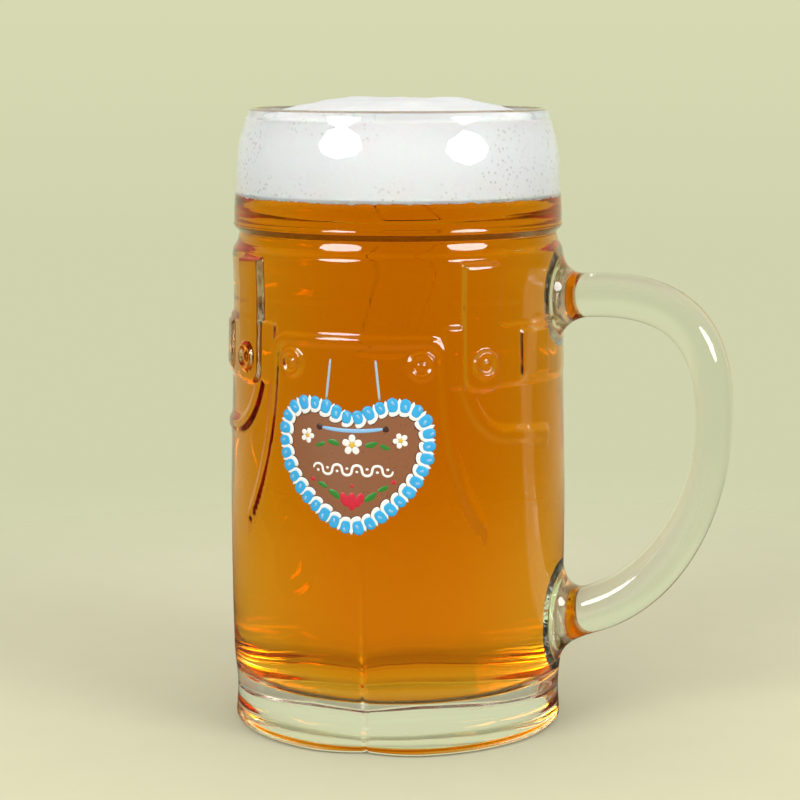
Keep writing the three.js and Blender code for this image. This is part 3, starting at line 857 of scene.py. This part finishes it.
def handle_line(h):
    """Middle line of the handle from the upper foot to the lower: reach from the axis and height, mm."""
    widest = BELLY + h.reach / MM
    high, low, middle = h.upper_foot / MM, h.lower_foot / MM, h.widest / MM
    rise, fall, reach = high - middle, middle - low, widest - ROOT
    t = np.linspace(0, 1, 200)[:, None]
    curves = []
    for stations in (
        (
            (ROOT, high), (ROOT + reach * 0.7, high + rise * 0.15),
            (widest, high - rise * 0.14), (widest, middle),
        ),
        ((widest, middle), (widest, middle - fall / 2), (ROOT + reach * 0.6, low), (ROOT, low)),
    ):
        a, b, c, d = (np.array(p) for p in stations)
        curves.append((1 - t) ** 3 * a + 3 * t * (1 - t) ** 2 * b + 3 * t**2 * (1 - t) * c + t**3 * d)
    return np.concatenate((curves[0], curves[1][1:]))


def handle_rings(h):
    """Rings round the handle's middle line from cap to cap, as x, y and z in mm from the axis."""
    line = handle_line(h)
    length = run_lengths(line)
    off_wall = line[:, 0] - wall_radius(line[:, 1])
    farthest = int(np.argmax(off_wall))
    outer, inner, aside = h.outer_flare / MM, h.inner_flare / MM, h.side_flare / MM
    flare = (outer + inner) / 2
    curve = np.radians(np.linspace(0, 90, FLARE_RINGS))
    away = flare * (1 - np.cos(curve))
    start = np.interp(away, off_wall[: farthest + 1], length[: farthest + 1])
    end = np.interp(away * LOWER_SWELL, off_wall[farthest:][::-1], length[farthest:][::-1])
    bar = np.linspace(start[-1], end[-1], BAR_RINGS)[1:-1]
    clear = np.full(len(bar), flare)
    places = np.concatenate((start, bar, end[::-1]))
    away = np.concatenate((away, clear, away[::-1]))
    swell = np.concatenate((1 - np.sin(curve), clear * 0, LOWER_SWELL * (1 - np.sin(curve))[::-1]))
    upper, middle, lower = h.upper_bar / MM, h.middle_bar / MM, h.lower_bar / MM
    stations = ((0, upper), (0.2, upper), (0.5, middle), (0.8, lower * 0.93), (1, lower))
    turn = np.linspace(0, 2 * np.pi, SECTION_POINTS, endpoint=False)
    up, across = (np.sign(v) * np.abs(v) ** (2 / SQUARENESS) for v in (np.cos(turn), np.sin(turn)))
    slope = units(np.gradient(line, axis=0))
    rings = []
    for s, distance, grown in zip(places, away, swell):
        cx, cz, tx, tz = (np.interp(s, length, v) for v in (*line.T, *slope.T))
        half = float(along(stations, s / length[-1])) / 2 + grown * np.where(up > 0, outer, inner)
        z = cz + tx * half * up
        y = (h.width / MM / 2 + grown * aside) * across
        wall = wall_reach(y, z)
        near = np.clip(1 - distance / flare, 0, 1)
        near = near * near * (3 - 2 * near)
        x = wall + (distance - SUNK) * near + (cx - tz * half * up - wall) * (1 - near)
        rings.append((x, y, z))
    for end in (0, -1):
        _, y, z = rings[end]
        for share in CAP_SHARES:
            cap_z = z.mean() + (z - z.mean()) * share
            cap = (wall_reach(y * share, cap_z) - SUNK, y * share, cap_z)
            rings.insert(0 if end == 0 else len(rings), cap)
    return rings


class MUG_OT_handle(bpy.types.Operator):
    """Draw the handle round its middle line and let its feet flare out on to the body"""

    bl_idname = "mug.handle"
    bl_label = "Handle"

    def execute(self, context):
        rings = handle_rings(context.scene.mug_handle)
        piece = loft("mug_handle", [[AXIS + Vector(p) * MM for p in zip(*ring)] for ring in rings])
        dress(piece, bpy.data.materials["clear_glass"], "glass", "handle")
        piece.data.materials.append(bpy.data.materials["wetted_glass"])
        x, y, z = from_axis(piece.data, "polygons", "center")
        piece.data.polygons.foreach_set("material_index", (x < wall_reach(y, z) - SUNK / 2).astype(np.int32))
        return {"FINISHED"}


class MUG_OT_beer(bpy.types.Operator):
    """Fill the inside with beer up to the foam"""

    bl_idname = "mug.beer"
    bl_label = "Beer"

    def execute(self, context):
        level = BEER_HIGH.z / MM + BEER_RISE
        points = inside_points(BEER_GROW, level)
        points += [(points[-1][0] * 0.6, level), (0, level)]
        piece = turn_line("mug_beer", points, ((-90, 360, 160),))
        dress(piece, beer_finish(context.scene.mug_drink), "beer", "beer")
        return {"FINISHED"}


def foam_profile(low, crown):
    """Radius and height round the foam from the middle of its foot to its crown, mm."""
    heights = np.concatenate(([low, low + 0.12], np.linspace(low + 1.2, FOAM_EDGE, 20)))
    points = [(0, low), (18, low), (30, low), (along(INSIDE_LINE, low) - 0.4, low)]
    points += list(zip(along(INSIDE_LINE, heights) + FOAM_GROW, heights))
    rim = points[-1][0]
    edge = rim - 0.55
    points += [(rim - 0.3, FOAM_EDGE + 0.1), (edge, FOAM_EDGE + CROWN_START)]
    for t in np.linspace(0, 1, 26)[1:]:
        r = edge * (1 - t)
        dome = (crown - 0.95 - FOAM_EDGE) * (1 - (r / edge) ** CROWN_POWER)
        points.append((r, FOAM_EDGE + CROWN_START + dome))
    return points, edge


class MUG_OT_foam(bpy.types.Operator):
    """Set the head of foam on the beer, domed above the lip"""

    bl_idname = "mug.foam"
    bl_label = "Foam"

    def execute(self, context):
        low, crown = BEER_HIGH.z / MM - FOAM_DIP, FOAM_HIGH.z / MM
        points, edge = foam_profile(low, crown)
        piece = turn_line("mug_foam", points, ((-90, 360, 300),))
        for vertex in piece.data.vertices:
            x, y, z = (vertex.co - AXIS) / MM
            r = math.hypot(x, y)
            if z > FOAM_EDGE + 0.05:
                ripple = noise.noise(Vector((x / 9, y / 9, 3.1))) * 0.35
                ripple += noise.noise(Vector((x / 3, y / 3, 8.4))) * 0.3
                for hump_x, hump_y, wide, rise in FOAM_HUMPS:
                    ripple += rise * math.exp(-((x - hump_x) ** 2 + (y - hump_y) ** 2) / wide**2)
                vertex.co.z += MM * min(ripple * min((edge - r) / 6, 1), crown - z)
            elif z < low + 0.2 and r > 33:
                vertex.co.z += MM * 0.5 * noise.noise(Vector((x / 0.9, y / 0.9, 1.7)))
        piece.data.update()
        dress(piece, foam_finish(context.scene.mug_drink), "foam", "foam_head")
        return {"FINISHED"}


def heart_outline(inset, steps, settings):
    """Even points of the heart, clockwise from its notch and set in from its edge: arc and height, mm."""
    side = np.array(HEART_SIDE) * (settings.width / MM / 2, -settings.height / MM) + (0, settings.top / MM)
    closed = np.concatenate((side, side[-2::-1] * (-1, 1)))
    length = run_lengths(closed)
    even = (np.arange(720) + 0.5) * length[-1] / 720
    points = np.stack([np.interp(even, length, closed[:, k]) for k in (0, 1)], 1)
    for _ in range(12):
        points = (np.roll(points, 3, 0) + points + np.roll(points, -3, 0)) / 3
    ahead = units(np.roll(points, -1, 0) - np.roll(points, 1, 0))
    points = points + ahead[:, ::-1] * (1, -1) * inset
    points = np.concatenate((points, points[:1]))
    length = run_lengths(points)
    even = (np.arange(steps) + 0.5) * length[-1] / steps
    return np.stack([np.interp(even, length, points[:, k]) for k in (0, 1)], 1)


def patch(name, outline, low, high, rows):
    """A thin closed plate on the glass inside an outline, domed a little towards its middle."""
    outline = np.array(outline)
    centre = outline.mean(0)
    shares = np.linspace(1, 0, rows, endpoint=False)[::-1]
    rings = []
    for lift, order in ((low, shares), (high, shares[::-1])):
        for share in order:
            top = low + (lift - low) * (1 - 0.45 * share**4) if lift == high else lift
            rings.append([on_body(*(centre + (p - centre) * share), top) for p in outline])
    return loft(name, rings)


def icing(name, spine, half_widths, height):
    """A dab of icing on the flat: a low round bead along a spine with half widths and a height, mm."""
    spine = np.array(spine, float)
    ahead = units(np.gradient(spine, axis=0))
    arch = np.linspace(0, np.pi, 7)
    rings = []
    for place, way, half in zip(spine, ahead, half_widths):
        side = np.array((way[1], -way[0]))
        full = height * min(1.5 * half / max(half_widths), 1)
        ring = [(*(place + side * half * math.cos(a)), full * math.sin(a) ** 0.7) for a in arch]
        ring += [(*(place + side * half * share), PRINT_LOW) for share in (-0.97, 0.97)]
        rings.append([Vector(p) * MM for p in ring])
    return loft(name, rings)


def lay(dab, place, turn, size=1.0):
    """A copy of a flat dab, turned by degrees, scaled and laid on the glass at an arc and height, mm."""
    copy = bpy.data.objects.new(dab.name, dab.data.copy())
    bpy.context.collection.objects.link(copy)
    cosine, sine = size * math.cos(math.radians(turn)), size * math.sin(math.radians(turn))
    for vertex in copy.data.vertices:
        u, v, lift = vertex.co / MM
        vertex.co = on_body(place[0] + u * cosine - v * sine, place[1] + u * sine + v * cosine, lift)
    return copy


def round_widths(steps, half, power=0.5):
    """Half widths of a bead of that many steps with round ends."""
    t = np.linspace(-1, 1, steps)
    return half * np.maximum(1 - t**2, 0.0004) ** power


def strip(name, spine, half_widths, height):
    """A bead of icing that is drawn in its own place on the glass."""
    flat = icing(name, spine, half_widths, height)
    copy = lay(flat, (0, 0), 0)
    bpy.data.objects.remove(flat)
    return copy


def heart_dabs():
    """The dabs that the print is made of, on the flat: each is modelled once and laid many times."""
    crescent = curve_points((-1.15, -1.3), (1.5, -1.7), (1.52, 1.7), 13)
    drop = curve_points((0.05, -1.3), (-0.1, 0.2), (-0.3, 1.95), 11)
    glint = ((0, -0.62), (0, -0.45), (0, 0), (0, 0.45), (0, 0.62))
    leaf = curve_points((0, -1.9), (0.5, 0), (0, 1.9), 9)
    dabs = [
        ("comma", crescent, round_widths(13, 0.92, 0.3) * np.linspace(1.08, 0.62, 13), 0.13),
        ("shade", crescent, round_widths(13, 1.1, 0.3) * np.linspace(1.12, 0.62, 13), 0.09),
        ("drop", drop, round_widths(11, 1.42, 0.42) * np.linspace(0.86, 1.0, 11), 0.2),
        ("glint", glint, round_widths(5, 0.44), 0.23),
        ("petal", np.linspace((0, 0.5), (0, 2.6), 8), round_widths(8, 0.92), 0.12),
        ("leaf", leaf, round_widths(9, 0.75, 0.9), 0.11),
        ("berry", np.linspace((0, -0.8), (0, 0.8), 7), round_widths(7, 0.8), 0.14),
        ("tulip", np.linspace((0, -2.2), (0, 2.2), 9), round_widths(9, 1.15, 0.8), 0.13),
        ("bead", np.linspace((0, -0.4), (0, 0.4), 5), round_widths(5, 0.4), 0.11),
    ]
    return {dab[0]: icing(*dab) for dab in dabs}


def lay_border(settings, dabs, laid):
    """Rope border: a shade, a white crescent, a blue drop and a glint at every place round the heart."""
    line = heart_outline(2.05, BORDER_DROPS, settings)
    ahead = np.roll(line, -1, 0) - np.roll(line, 1, 0)
    for k, (place, way) in enumerate(zip(line, ahead)):
        turn = math.degrees(math.atan2(way[1], way[0]))
        size = 1.08 + 0.07 * math.sin(2.3 * k)
        laid["dark"].append(lay(dabs["shade"], place, turn, size))
        laid["white"].append(lay(dabs["comma"], place, turn, size))
        laid["blue"].append(lay(dabs["drop"], place, turn + 4 * math.sin(1.7 * k), size))
        a = math.radians(turn)
        glint = place + np.array((-math.sin(a), math.cos(a))) * (0.6 + 0.5 * math.sin(2.9 * k))
        laid["light"].append(lay(dabs["glint"], glint, turn + 25, size))


def lay_posy(dabs, laid):
    """Blossoms, leaves, tulip and berries."""
    for x, z, size in BLOSSOMS:
        for k in range(5):
            laid["white"].append(lay(dabs["petal"], (x, z), 72 * k + 8 * x, size))
        laid["yellow"].append(lay(dabs["berry"], (x, z), 0, size))
    plants = (("green", "leaf", LEAVES), ("red", "tulip", TULIP), ("red", "berry", BERRIES))
    for colour, dab, places in plants:
        laid[colour] += [lay(dabs[dab], (x, z), turn, size) for x, z, turn, size in places]


def lay_scroll(dabs, laid):
    """Scroll with a bead in each wave, and the ribbon with its dark ends."""
    wave = np.linspace(-SCROLL_WAVES, SCROLL_WAVES, 24 * SCROLL_WAVES + 1) * math.pi
    across = wave * SCROLL_PITCH - 0.3 * np.sin(2 * wave)
    spine = np.stack((across, SCROLL_HEIGHT + 1.2 * np.sin(wave)), 1)
    laid["white"].append(strip("scroll", spine, round_widths(len(spine), 0.36, 0.12), 0.1))
    for k in range(-SCROLL_WAVES, SCROLL_WAVES):
        bead = ((k + 0.5) * math.pi * SCROLL_PITCH, SCROLL_HEIGHT - 0.35 * math.cos(math.pi * k))
        laid["white"].append(lay(dabs["bead"], bead, 0))
    ribbon = curve_points(*RIBBON, 14)
    laid["light"].append(strip("ribbon", ribbon, round_widths(14, 0.5, 0.15), 0.12))
    laid["dark"] += [lay(dabs["berry"], place, 0, 1.05) for place in RIBBON_ENDS]


class MUG_OT_heart_print(bpy.types.Operator):
    """Print the gingerbread heart, its icing, its posy and its two cords on the front"""

    bl_idname = "mug.heart_print"
    bl_label = "Heart print"

    def execute(self, context):
        p = context.scene.mug_print
        finishes = {c: print_finish(f"print_{c}", getattr(p, c), *look) for c, look in PRINT_LOOKS.items()}
        ground = patch("heart_ground_print", heart_outline(1.2, 160, p), PRINT_LOW, 0.06, 8)
        dress(ground, finishes["brown"], "brown_print", "heart_ground")
        dabs = heart_dabs()
        laid = {colour: [] for colour in finishes}
        lay_border(p, dabs, laid)
        lay_posy(dabs, laid)
        lay_scroll(dabs, laid)
        for dab in dabs.values():
            bpy.data.objects.remove(dab)
        dress(join("heart_border_white", laid["white"]), finishes["white"], "white_print", "heart_border")
        dress(join("heart_border_blue", laid["blue"]), finishes["blue"], "blue_print")
        dress(join("heart_border_light", laid["light"]), finishes["light"], "blue_print")
        dress(join("heart_shade", laid["dark"]), finishes["dark"], "brown_print")
        for colour in ("yellow", "green", "red"):
            dress(join(f"heart_posy_{colour}", laid[colour]), finishes[colour], None)
        for side, name in ((-1, "left"), (1, "right")):
            spine = np.linspace((side * CORD_TOP[0], CORD_TOP[1]), (side * CORD_FOOT[0], CORD_FOOT[1]), 12)
            cord = strip("cord", spine, round_widths(12, 0.31, 0.05), 0.09)
            cord = join(f"heart_cord_{name}_print", [cord])
            dress(cord, finishes["cord"], "blue_print", f"heart_cord_{name}")
        return {"FINISHED"}


# Stage: lengths in metres, angles in degrees

CAMERA_TURN, CAMERA_PITCH, CAMERA_TRIM = 15.0, 8.67, 0.05
BEHIND = (-0.259, 0.966, 0)  # the way from the camera past the mug
FLOOR_RADIUS = 1.6
FLOOR_LOW = -0.0002
FLOOR_FADE = (0.12, 0.42)
BEER_DEPTH = (3.5, 4.5)  # walls that light has passed once it has been through the beer
# Floor colour where it is seen through the beer: painted light
BEER_GLOW = (1.05, 1.3, 1.0)
MIRRORED_FLOOR = 0.12
SOFT_BOXES = (("left", -27, 0.494), ("right", 65.5, 0.432))
SOFT_BOX_RADIUS = 0.22
SOFT_BOX_SHAPE = (1.3, 0.96, 1)
SOFT_BOX_DISTANCE = 0.95
SOFT_BOX_AIM = 0.14
DOME_COLOUR = (0.97, 0.985, 1.03)


def stage_floor(s):
    """Floor that fades into the backdrop, painted dark where the glass mirrors it and painted brighter and
    greener where it is seen through the beer.
    """
    deselect()
    bpy.ops.mesh.primitive_circle_add(
        vertices=96, radius=FLOOR_RADIUS, fill_type="NGON", location=(0, 0, FLOOR_LOW)
    )
    floor = bpy.context.object
    floor.name = "stage_floor"
    material, wire = new_finish("stage_floor")
    place = wire.node("TexCoord", out="Object")
    grain = clouds(place, 60.0)
    tone = mixed(wire, grain, rgba(s.floor), rgba(s.floor, 0.96))
    off = wire.node("VectorMath", {"operation": "LENGTH"}, {0: place}, 1)
    fade = ranged(off, *FLOOR_FADE, kind="SMOOTHSTEP")
    # Seen through the beer the floor is painted brighter and greener: painted light that lifts the beer
    through_beer = ranged(wire.node("LightPath", out="Transmission Depth"), *BEER_DEPTH)
    tone = mixed(wire, through_beer, tone, rgba([c * k for c, k in zip(s.floor, BEER_GLOW)]))
    mirrored = wire.node("LightPath", out="Is Glossy Ray") * wire.node("LightPath", out="Is Reflection Ray")
    tone = mixed(wire, mirrored, tone, rgba(s.floor, MIRRORED_FLOOR))
    matt = wire.node("BsdfDiffuse", None, {"Color": tone})
    clear = wire.node("BsdfTransparent")
    faded = wire.node("MixShader", None, {0: fade, 1: matt, 2: clear})
    wire.node("OutputMaterial", None, {"Surface": faded})
    floor.data.materials.append(material)


def soft_box(name, turn, height, strength):
    """An eight-sided soft box that faces the mug."""
    deselect()
    bpy.ops.mesh.primitive_circle_add(vertices=8, radius=SOFT_BOX_RADIUS, fill_type="NGON")
    lamp = bpy.context.object
    lamp.name = f"stage_soft_box_{name}"
    a = math.radians(turn)
    out = Vector((math.sin(a), -math.cos(a), 0)) * SOFT_BOX_DISTANCE
    lamp.location = AXIS + out + Vector((0, 0, height))
    aim = AXIS + Vector((0, 0, SOFT_BOX_AIM)) - lamp.location
    lamp.rotation_euler = aim.to_track_quat("-Z", "Y").to_euler()
    lamp.scale = SOFT_BOX_SHAPE
    material, wire = new_finish(f"stage_soft_box_{name}")
    glow = wire.node("Emission", None, {"Color": (1, 1, 1, 1), "Strength": strength})
    wire.node("OutputMaterial", None, {"Surface": glow})
    lamp.data.materials.append(material)
    lamp.visible_camera = False


def backdrop(s):
    """Pale backdrop, a dark room in front of the mug for its mirrors and a soft dome on matt surfaces."""
    world = bpy.data.worlds.new("stage_light")
    bpy.context.scene.world = world
    world.use_nodes = True
    world.node_tree.nodes.clear()
    wire = Wire(world.node_tree)
    way = wire.node("TexCoord", out="Generated")
    height = wire.node("SeparateXYZ", None, {"Vector": way}, 2)
    behind = wire.node("VectorMath", {"operation": "DOT_PRODUCT"}, {0: way, 1: BEHIND}, 1)
    low, high, dim = rgba(s.backdrop, 0.9), rgba(s.backdrop), rgba(s.backdrop, 0.5)
    stops = ((0.0, low), (0.46, low), (0.54, high), (0.8, high), (1.0, dim))
    paper = wire.node("ValToRGB", {"stops": stops}, {"Fac": height * 0.5 + 0.5})
    room = ranged(behind, 0.3, 0.95, 0.01, 1.0, "SMOOTHSTEP")
    far_side = ranged(behind, -0.6, 0.5, 0.45, 1.0, "SMOOTHSTEP")
    seen = wire.node("LightPath", out="Is Camera Ray")
    through = wire.node("LightPath", out="Is Transmission Ray")
    strength = room + through * (far_side - room)
    strength = strength + seen * (1 - strength)
    scattered = ranged(wire.node("LightPath", out="Diffuse Depth"), 0.0, 1.0)
    strength = strength + scattered * (s.dome - strength)
    paper = mixed(wire, scattered, paper, rgba(DOME_COLOUR))
    back = wire.node("Background", None, {"Color": paper, "Strength": strength})
    world.cycles.sampling_method = "NONE"
    wire.node("OutputWorld", None, {"Surface": back})


def camera_view(s):
    """Camera at the place the mug is looked at from."""
    camera = bpy.data.objects.new("stage_camera", bpy.data.cameras.new("stage_camera"))
    bpy.context.collection.objects.link(camera)
    a = math.radians(CAMERA_TURN)
    camera.location = AXIS + Vector((math.sin(a) * s.distance, -math.cos(a) * s.distance, s.eye))
    camera.rotation_euler = (math.radians(90 - CAMERA_PITCH), 0, math.radians(CAMERA_TURN - CAMERA_TRIM))
    camera.data.lens = s.lens
    camera.data.clip_start = 0.01
    bpy.context.scene.camera = camera


class MUG_OT_stage(bpy.types.Operator):
    """Set the floor, the backdrop, two soft boxes and the camera"""

    bl_idname = "mug.stage"
    bl_label = "Stage"

    def execute(self, context):
        settings = context.scene.mug_stage
        stage_floor(settings)
        for name, turn, height in SOFT_BOXES:
            soft_box(name, turn, height, settings.lamp)
        backdrop(settings)
        camera_view(settings)
        context.scene.view_settings.view_transform = "Standard"
        cycles = context.scene.cycles
        cycles.max_bounces = cycles.transmission_bounces = cycles.glossy_bounces = LIGHT_BOUNCES
        return {"FINISHED"}


class MUG_PT_pieces(bpy.types.Panel):
    """The mug's pieces in the order that they are made"""

    bl_idname = "MUG_PT_pieces"
    bl_label = "Mug"
    bl_space_type = "VIEW_3D"
    bl_region_type = "UI"
    bl_category = "Mug"

    def draw(self, context):
        for step in STEPS:
            self.layout.operator(step.bl_idname)


STEPS = (MUG_OT_glass_body, MUG_OT_handle, MUG_OT_beer, MUG_OT_foam, MUG_OT_heart_print, MUG_OT_stage)
SETTINGS = {
    "mug_glass": GlassSettings,
    "mug_relief": ReliefSettings,
    "mug_handle": HandleSettings,
    "mug_drink": DrinkSettings,
    "mug_print": PrintSettings,
    "mug_stage": StageSettings,
}


def register():
    for name, group in SETTINGS.items():
        bpy.utils.register_class(group)
        setattr(bpy.types.Scene, name, PointerProperty(type=group))
    for kind in (*STEPS, MUG_PT_pieces):
        bpy.utils.register_class(kind)


def unregister():
    for kind in reversed((*STEPS, MUG_PT_pieces)):
        bpy.utils.unregister_class(kind)
    for name, group in reversed(SETTINGS.items()):
        delattr(bpy.types.Scene, name)
        bpy.utils.unregister_class(group)


def main():
    register()
    bpy.ops.mug.glass_body()
    bpy.ops.mug.handle()
    bpy.ops.mug.beer()
    bpy.ops.mug.foam()
    bpy.ops.mug.heart_print()
    bpy.ops.mug.stage()


if __name__ == "__main__":
    main()
